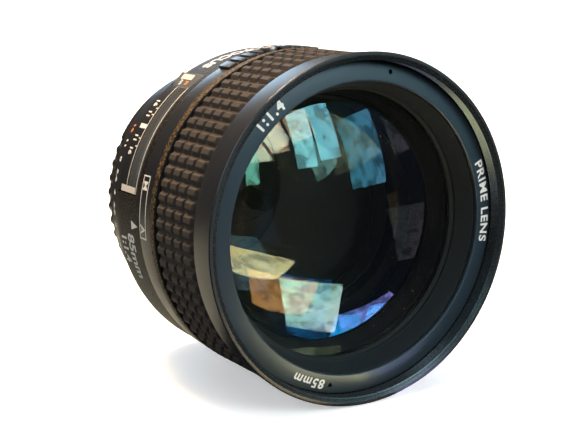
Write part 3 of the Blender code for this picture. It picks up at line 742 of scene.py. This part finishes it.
def build_switch_ring(f):
    """Autofocus / manual ring with finger pads, printed frame and lock button."""
    front, back, _ = span("am_ring")
    outer = 38.9
    outline = [(outer - 1.15, front, 0), (outer, front, 0, 0.3), (outer, back, 0, 0.3),
               (outer - 1.15, back, 0)]
    ring = revolve("mode_ring", outline, "am_ring", [f["satin"]], ["am_ring"])
    cut(ring, rod(2.45, polar(36.5, BUTTON_ANGLE, BUTTON_Y), polar(41.0, BUTTON_ANGLE, BUTTON_Y),
                  48))
    for number, start in enumerate((-27.0, -5.0)):
        pad = add_piece(f"mode_ring_pad_{number + 1}", finger_pad(start), "am_ring",
                        [f["satin"]])
        round_edges(pad, 0.12)

    marks = Marks(outer)
    upper, lower = -73.3, -95.3
    line = 0.28
    bar = 0.45
    marks.patch(upper, lower, -39.5, -39.5 + line)
    marks.patch(upper, lower, -35.95 - line, -35.95 - 2 * line)
    marks.patch(upper, upper - bar, -39.5, -36.2)
    marks.patch(lower + bar, lower, -39.5, -36.2)
    marks.done("mode_frame", "am_ring", f["white"])
    lettering("mode_manual", "M", 3.2, on_barrel(-76.9, -37.85, outer), "am_ring", f["white"],
              bold=0.01)
    lettering("mode_auto", "A", 3.2, on_barrel(-91.9, -37.85, outer), "am_ring", f["white"],
              bold=0.03)

    outward = polar(1.0, BUTTON_ANGLE, 0.0).normalized()
    base = polar(38.7, BUTTON_ANGLE, BUTTON_Y)
    bm = rod(2.1, base, base + outward * 1.3 * MM, 64)
    button = add_piece("mode_lock_button", bm, "am_button", [f["steel"]], ["am_lock_button"])
    cut(button, rod(1.35, base + outward * 1.15 * MM, base + outward * 3.0 * MM, 48))
    round_edges(button, 0.12)


def finger_pad(start):
    """Raised pad with three grooves along the axis."""
    top = 39.6
    loop = [flat(top, start)]
    for groove in (4.3, 8.4, 12.5):
        middle = start + groove
        for i in range(9):
            share = i / 8
            depth = 0.5 * math.sin(math.pi * share)
            loop.append(flat(top - depth, middle - 0.75 + 1.5 * share))
    loop += [flat(top, start + 15.0)]
    loop += arc(38.8, start + 15.0, start, 12)
    return block(loop, -41.0, -36.4)


def build_collar(f):
    """Narrow crinkled collar behind the focus ring."""
    front, back, outer = span("collar_ring")
    outline = [(outer - 1.55, front, 1), (outer - 0.2, front, 0, 0.1), (outer, front + 0.25, 0, 0.2),
               (outer, back - 0.2, 0, 0.2), (outer - 0.2, back, 1, 0.1), (outer - 1.55, back, 1)]
    # The collar finish's tan crests are painted warm light.
    crinkled("crinkled_collar", outline, "barrel", [f["collar"], f["matte"]], {0}, 0.14,
             ["collar_ring"])


# ---- Distance barrel -----------------------------------------------

def build_distance_barrel(f):
    """Crinkled barrel with the recess, window, plates and everything printed on them."""
    front, back, outer = span("scale_barrel")
    shoulder = -35.7
    outline = [(outer - 0.9, back, 0, 0.15), (outer, back - 3.1, 0, 1.2),
               (outer, shoulder, 1, 0.25), (outer - 1.0, shoulder, 1),
               (outer - 1.0, front, 1), (outer - 1.65, front, 1), (outer - 1.65, back - 1.8, 1),
               (outer - 3.2, back - 1.8, 1), (outer - 3.2, back, 1)]
    barrel = revolve("distance_barrel", outline, "barrel", [f["crinkle"], f["matte"]],
                     ["scale_barrel"], segments=240)
    recess = (-32.8, -21.4)
    cut(barrel, sector(37.5, 39.6, -82.0, -37.2, *recess, 60))
    cut(barrel, sector(37.2, 39.6, RAMP_FOOT, -31.1, *recess, 8))
    cut(barrel, sector(36.2, 39.0, -80.6, RAMP_FOOT, -31.3, -26.3, 60))
    ramp = arc(37.5, -37.6, -37.2, 1) + [flat(38.42, -31.3), flat(38.42, -31.0),
                                         flat(37.6, -31.0)] + arc(37.3, -31.4, -37.6, 6)
    add_piece("window_ramp", block(ramp, *recess), "barrel", [f["ramp"]])

    bm = sector(PLATE_TOP - 0.2, PLATE_TOP, PLATE_END, RAMP_FOOT, -25.8, -21.7, 60)
    add_piece("depth_plate", bm, "barrel", [f["satin"]], ["depth_scale_plate"])
    bm = sector(PLATE_TOP - 0.2, PLATE_TOP, PLATE_END, RAMP_FOOT, -32.5, -26.1, 60)
    add_piece("distance_window", bm, "barrel", [f["clear"]], ["scale_window"])

    marks = Marks(PLATE_TOP)
    marks.patch(-37.9, -81.3, -26.2, -25.95)
    marks.patch(-37.9, -81.3, -31.45, -31.2)
    marks.patch(-79.0, -81.3, -30.9, -23.4)
    for angle in (-49.0, -51.8, -61.5, -64.6):
        marks.patch(angle - 0.25, angle + 0.25, -26.1, -25.0)
    marks.done("window_lines", "barrel", f["cream"])
    bm = bmesh.new()
    corners = [bm.verts.new(polar(ramp_height(angle) + lift, angle, y))
               for lift in (0.0, Marks.thickness) for angle in (-31.7, -34.0)
               for y in (-28.9, -23.2)]
    for face in ((0, 1, 3, 2), (4, 5, 7, 6), (0, 1, 5, 4), (1, 3, 7, 5), (3, 2, 6, 7),
                 (2, 0, 4, 6)):
        bm.faces.new([corners[i] for i in face])
    add_piece("ramp_mark", bm, "barrel", [f["cream"]])
    lettering("metres_mark", "m", 2.0, on_ramp(-35.4, -24.6), "barrel", f["white"])
    lettering("feet_mark", "ft", 2.0, on_ramp(-35.4, -27.6), "barrel", f["orange"])
    marks = Marks(PLATE_TOP)
    marks.patch(-55.9, -57.7, -25.9, -22.6)
    marks.done("index_mark", "barrel", f["white"])
    for name, text, angle in (("depth_11_upper", "11", -51.7), ("depth_16_upper", "16", -46.7),
                              ("depth_11_lower", "11", -61.6), ("depth_16_lower", "16", -66.5)):
        lettering(name, text, 2.2, on_barrel(angle, -23.4, PLATE_TOP), "barrel", f["white"])

    marks = Marks(outer)
    marks.shape([(-90.6, -30.5), (-93.8, -30.5), (-92.2, -33.9)])
    marks.done("mode_index", "barrel", f["white"])
    lettering("barrel_length", "85mm", 4.6, on_barrel(-104.4, -29.6, outer), "barrel", f["white"],
              bold=0.06)
    lettering("barrel_speed", "1:1.4", 3.8, on_barrel(-102.0, -25.6, outer), "barrel",
              f["white"], bold=0.06)
    lettering("barrel_title", "AUTOFOCUS", 4.2, on_barrel(-8.0, -28.0, outer), "barrel",
              f["white"], bold=0.06)


def build_distance_scale(f):
    """Turning distance drum with its engraved scale."""
    front, back, outer = span("distance_scale_drum")
    outline = [(outer - 1.1, front, 0), (outer, front, 0, 0.1), (outer, back, 0, 0.1),
               (outer - 1.1, back, 0)]
    revolve("distance_drum", outline, "distance_drum", [f["scale"]], ["distance_scale_drum"])
    marks = Marks(outer)
    marks.patch(-75.6, -79.2, -30.9, -26.6)
    marks.done("distance_end_mark", "distance_drum", f["edge"])
    infinity_angle, near_angle = -90.0, -202.0
    nearest = 0.85
    for value in (15.0, 5.0, 3.0, 2.0, 1.5, 1.2, 1.0, nearest):
        angle = infinity_angle + (near_angle - infinity_angle) * (1.0 / value) / (1.0 / nearest)
        text = f"{value:g}"
        lettering("metres_" + text.replace(".", "_"), text, 1.7,
                  on_barrel(angle, -30.0, outer), "distance_drum", f["white"])
        feet = value / 0.3048
        text = f"{feet:.0f}" if feet >= 10.0 else f"{feet:.1f}".rstrip("0").rstrip(".")
        lettering("feet_" + text.replace(".", "_"), text, 1.7,
                  on_barrel(angle, -27.7, outer), "distance_drum", f["orange"])


# ---- Aperture ring -------------------------------------------------

def build_aperture_ring(f):
    """Scalloped grip, numbered bevel and the catch for the smallest aperture."""
    front, back, outer = span("aperture_ring")
    crest = 32.3
    start = back - 5.9
    scallops = 54
    steps = scallops * 12
    plain_from, plain_to = 299.9, 340.1
    outline = soften([(30.8, back, 0), (crest, back, 0, 0.2), (crest, back - 5.3, 0, 0.2),
                      (34.0, start, 0, 0.2), (outer, front, 0, 0.12), (outer - 1.8, front, 0),
                      (30.8, back - 5.2, 0)])
    bm = bmesh.new()
    rings = []
    for radius, y, _ in outline:
        gripped = crest - 0.5 < radius < crest + 0.6
        ring = []
        for i in range(steps):
            angle = 360.0 * i / steps
            wave = 0.5 - 0.5 * math.cos(math.tau * scallops * i / steps)
            scalloped = gripped and not plain_from < angle < plain_to
            dip = 0.7 * wave ** 1.3 if scalloped else 0.0
            ring.append(bm.verts.new(polar(radius - dip, angle, y)))
        rings.append(ring)
    for first, second in zip(rings, rings[1:] + rings[:1]):
        for i in range(steps):
            j = (i + 1) % steps
            bm.faces.new((first[i], first[j], second[j], second[i]))
    ring = add_piece("aperture_control_ring", bm, "aperture_ring", [f["satin"]],
                     ["aperture_ring"], sharp=40.0)
    cut(ring, sector(32.0, 38.5, 31.2, 38.8, -18.2, -10.8, 8))
    lock = add_piece("aperture_lock_slider", sector(34.4, 36.3, 31.8, 38.2, -15.8, -11.2, 8),
                     "aperture_lock", [f["plastic"]], ["aperture_lock"])
    round_edges(lock, 0.2)

    slope = (outer - 34.0) / (start - front)
    y = -14.3
    numbers = ("16", "11", "8", "5.6", "4", "2.8", "2", "1.4")
    for i, text in enumerate(numbers):
        colour = f["orange"] if i == 0 else f["white"]
        lettering("aperture_" + text.replace(".", "_"), text, 2.7,
                  on_barrel(-57.2 - 6.7 * i, y, 34.0 + slope * (start - y), slope),
                  "aperture_ring", colour)


# ---- Camera side ---------------------------------------------------

def build_mount(f):
    """Chromed bayonet with its claws, screws and index dot."""
    front, back, outer = span("mount_flange")
    outline = [(outer, front, 0), (outer, -0.3, 0, 0.2), (outer - 0.3, 0.0, 0, 0.1),
               (21.9, 0.0, 0, 0.15), (21.9, back, 0, 0.2), (20.4, back, 0, 0.2),
               (20.4, front, 0)]
    flange = revolve("bayonet_flange", outline, "barrel", [f["chrome"]], ["mount_flange"])
    cut(flange, rod(1.7, polar(26.5, 128.25, -3.0), polar(26.5, 128.25, 1.0), 40))
    for number in range(5):
        angle = 20.0 + 72.0 * number
        cut(flange, rod(2.0, polar(26.2, angle, -1.1), polar(26.2, angle, 1.0), 40))
        build_screw(f, number + 1, angle)
    for number, start in enumerate((-10.0, 110.0, 230.0)):
        bm = sector(21.8, 23.4, start, start + 56.0, 3.2, 4.7, 36)
        claw = add_piece(f"bayonet_claw_{number + 1}", bm, "barrel", [f["chrome"]])
        round_edges(claw, 0.18)
    bm = rod(0.9, polar(28.6, -56.8, -0.1), polar(28.6, -56.8, 0.03), 32)
    add_piece("mount_index_dot", bm, "barrel", [f["white"]])


def build_screw(f, number, angle):
    """Countersunk cross-head screw of the bayonet."""
    outline = soften([(0.0, -0.1, 0), (1.6, -0.1, 0, 0.25), (1.6, -0.8, 0), (0.8, -0.8, 0),
                      (0.8, -4.4, 0), (0.0, -4.4, 0)])
    bm = revolve_mesh(outline, 40)
    centre = polar(26.2, angle, 0.0)
    bm.transform(Matrix.Translation(centre))
    screw = add_piece(f"flange_screw_{number}", bm, "barrel", [f["steel"]],
                      [f"mount_screw_{number}"])
    for turn in (angle, angle + 90.0):
        bm = bmesh.new()
        bmesh.ops.create_cube(bm, size=1.0)
        bmesh.ops.scale(bm, vec=(1.9 * MM, 0.9 * MM, 0.38 * MM), verts=bm.verts)
        bm.transform(Matrix.Translation(centre) @ Matrix.Rotation(math.radians(turn), 4, "Y"))
        cut(screw, bm)


def finish_remaining_nodes(f):
    """Materials of the CAD nodes that stay in view."""
    chosen = {
        "main_barrel": "alloy", "cam_ring": "alloy", "focus_gear": "brass",
        "focus_drive_key": "brass", "af_drive_shaft": "steel", "rear_cell": "matte",
        "rear_retaining_ring": "satin", "guide_roller_1": "steel", "guide_roller_2": "steel",
        "guide_roller_3": "steel", "diaphragm_base": "matte", "diaphragm_drive_ring": "alloy",
        "am_button_spring": "steel", "contact_block": "plastic", "cpu_contacts": "gold",
        "rear_baffle": "matte",
    }
    for number in range(1, 10):
        chosen[f"blade_{number}"] = "blade"
    for node, name in chosen.items():
        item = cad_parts[node]
        item.data.materials.clear()
        item.data.materials.append(f[name])


# ---- Studio --------------------------------------------------------

def aim(item, target):
    """Turn a light so that it faces a point."""
    item.rotation_euler = (Vector(target) - item.location).to_track_quat("-Z", "Y").to_euler()


def softbox(name, azimuth, elevation, distance, width, height, power, colour):
    """Rectangular light facing the lens; azimuth is measured from straight ahead, towards +X."""
    data = bpy.data.lights.new(name, "AREA")
    data.shape = "RECTANGLE"
    data.size = width
    data.size_y = height
    data.energy = power
    data.color = colour
    item = bpy.data.objects.new(name, data)
    bpy.context.collection.objects.link(item)
    around, rise = math.radians(azimuth), math.radians(elevation)
    item.location = (distance * math.sin(around) * math.cos(rise),
                     -distance * math.cos(around) * math.cos(rise), distance * math.sin(rise))
    aim(item, (0.0, -0.04, 0.0))
    return item


def stage_sheet(name, corners):
    """Flat stage surface with an empty material of its own."""
    bm = bmesh.new()
    bm.faces.new([bm.verts.new(corner) for corner in corners])
    mesh = bpy.data.meshes.new(name)
    bm.to_mesh(mesh)
    bm.free()
    item = bpy.data.objects.new(name, mesh)
    bpy.context.collection.objects.link(item)
    n = Nodes(name)
    mesh.materials.append(n.material)
    return item, n


def build_floor():
    """Pale floor with a faintly uneven matte finish, left out of reflections."""
    low = cad_low.z - 0.0002
    reach = 12.0
    floor, n = stage_sheet("studio_floor", [(-reach, -reach, low), (reach, -reach, low),
                                            (reach, reach, low), (-reach, reach, low)])
    n.link(n.mix(n.noise(60.0, 3.0), (0.90, 0.90, 0.90), (0.92, 0.92, 0.92)),
           n.shader.inputs["Base Color"])
    n.set(Roughness=0.95, Specular_IOR_Level=0.2, Emission_Color=(1.0, 1.0, 1.0, 1.0),
          Emission_Strength=0.42)
    floor.visible_glossy = False
    floor.visible_transmission = False
    floor.visible_diffuse = False


def glow_card(name, corners, colour, power, size):
    """Unevenly glowing card that is only seen in reflections."""
    card, n = stage_sheet(name, corners)
    patches = n.ramp(n.noise(size, 6.0, 0.68), 0.43, 0.53, 0.0, 1.0)
    n.link(n.mix(patches, tuple(c * 0.34 for c in colour), colour),
           n.shader.inputs["Emission Color"])
    n.set(Emission_Strength=power, Roughness=0.9, Specular_IOR_Level=0.0,
          Base_Color=(0.0, 0.0, 0.0, 1.0))
    card.visible_camera = False
    card.visible_diffuse = False
    card.visible_shadow = False


def floor_card(name, corners, colour, power):
    """Glowing card lying just above the floor."""
    low = cad_low.z + 0.001
    glow_card(name, [(x, y, low) for x, y in corners], colour, power, 11.0)


def window_pane(name, azimuth, elevation, width, height, power, colour):
    """Window light: a soft light, and the uneven view through the glass for reflections."""
    light = softbox(name, azimuth, elevation, 1.6, width, height, power, colour)
    light.visible_glossy = False
    sideways = light.rotation_euler.to_matrix() @ Vector((width / 2.0, 0.0, 0.0))
    upwards = light.rotation_euler.to_matrix() @ Vector((0.0, height / 2.0, 0.0))
    corners = [light.location + sideways * x + upwards * y
               for x, y in ((-1, -1), (1, -1), (1, 1), (-1, 1))]
    glow_card(name + "_view", corners, colour, 1.25 * power / (math.pi * width * height), 150.0)


def build_world():
    """Dim, slightly cool room light that is brighter overhead."""
    world = bpy.data.worlds.new("studio")
    bpy.context.scene.world = world
    world.use_nodes = True
    tree = world.node_tree
    back = tree.nodes["Background"]
    coords = tree.nodes.new("ShaderNodeTexCoord")
    parts = tree.nodes.new("ShaderNodeSeparateXYZ")
    tree.links.new(coords.outputs["Generated"], parts.inputs[0])
    spread = tree.nodes.new("ShaderNodeMapRange")
    spread.inputs["To Min"].default_value = 0.025
    spread.inputs["To Max"].default_value = 0.22
    tree.links.new(parts.outputs["Z"], spread.inputs["Value"])
    tree.links.new(spread.outputs["Result"], back.inputs["Strength"])
    back.inputs["Color"].default_value = (0.85, 0.94, 1.0, 1.0)


def hide_from_glass(light):
    """Keep a light out of reflections and of the view through the glass."""
    light.visible_glossy = False
    light.visible_transmission = False


def build_studio():
    """Pale floor, soft room light, warm lamp and tall windows in front of the lens."""
    build_floor()
    floor_card("card_white", [(-0.016, -0.122), (0.022, -0.106), (0.006, -0.074),
                              (-0.012, -0.080)], (1.0, 0.78, 0.44), 18.0)
    floor_card("card_violet", [(0.010, -0.083), (0.044, -0.084), (0.044, -0.064),
                               (0.008, -0.069)], (0.62, 0.58, 1.0), 6.0)
    floor_card("card_cream", [(-0.100, -0.270), (-0.048, -0.250), (-0.018, -0.140),
                              (-0.024, -0.106), (-0.042, -0.104)], (0.84, 0.74, 1.0), 1.7)
    floor_card("card_tan", [(-0.300, -0.030), (-0.012, -0.030), (-0.012, 0.120),
                            (-0.300, 0.300)], (1.0, 0.88, 0.64), 1.4)
    floor_card("card_right", [(0.046, -0.078), (0.120, -0.078), (0.120, 0.020),
                              (0.046, 0.020)], (0.74, 0.86, 1.0), 2.2)
    floor_card("card_olive", [(0.075, -0.105), (0.115, -0.075), (0.420, -0.130),
                              (0.300, -0.330)], (1.0, 0.92, 0.62), 0.5)
    build_world()
    window_pane("window_pane_left", 13.0, 23.0, 0.23, 0.62, 4.2, (0.86, 0.91, 0.96))
    window_pane("window_pane_middle", 23.2, 24.0, 0.25, 0.58, 3.8, (0.86, 0.94, 0.96))
    window_pane("window_pane_right", 38.5, 14.0, 0.46, 0.66, 3.0, (0.50, 0.93, 0.95))
    window_pane("wooden_wall", 57.0, 18.0, 0.26, 0.5, 0.3, (1.0, 0.70, 0.52))
    window_pane("window_pane_side", -9.0, 14.0, 0.14, 0.34, 0.9, (0.70, 1.0, 0.90))
    softbox("sky_right", 106.0, 21.0, 1.6, 0.4, 0.5, 2.5, (0.62, 0.82, 1.0))
    softbox("edge_light", -61.0, 34.0, 1.6, 0.16, 1.1, 1.3, (0.72, 0.90, 1.0))
    softbox("ceiling_lamp", -20.0, 66.0, 1.6, 0.5, 0.3, 4.0, (0.84, 0.93, 1.0))
    softbox("warm_key", -165.0, 66.0, 1.4, 0.5, 0.5, 37.0, (1.0, 0.64, 0.32))
    softbox("sky_top", 163.0, 20.0, 1.6, 0.35, 0.4, 3.6, (0.50, 0.76, 1.0))
    hide_from_glass(softbox("front_fill", 8.0, 24.0, 1.6, 0.8, 0.8, 13.0, (1.0, 0.98, 0.95)))
    hide_from_glass(softbox("left_fill", -75.0, 25.0, 1.6, 0.8, 0.8, 7.0, (0.88, 0.94, 1.0)))
    hide_from_glass(softbox("floor_wash", 180.0, 60.0, 4.5, 5.0, 5.0, 190.0, (1.0, 1.0, 1.0)))
    bpy.context.scene.view_settings.view_transform = "Standard"


# ---- Everything ----------------------------------------------------

def main():
    build_camera()
    finishes = build_finishes()
    build_front_ring(finishes)
    build_name_plate(finishes)
    build_front_baffle(finishes)
    build_front_cell(finishes)
    build_glass(finishes)
    build_focus_ring(finishes)
    build_rubber(finishes)
    build_switch_ring(finishes)
    build_collar(finishes)
    build_distance_barrel(finishes)
    build_distance_scale(finishes)
    build_aperture_ring(finishes)
    build_mount(finishes)
    finish_remaining_nodes(finishes)
    build_studio()


main()
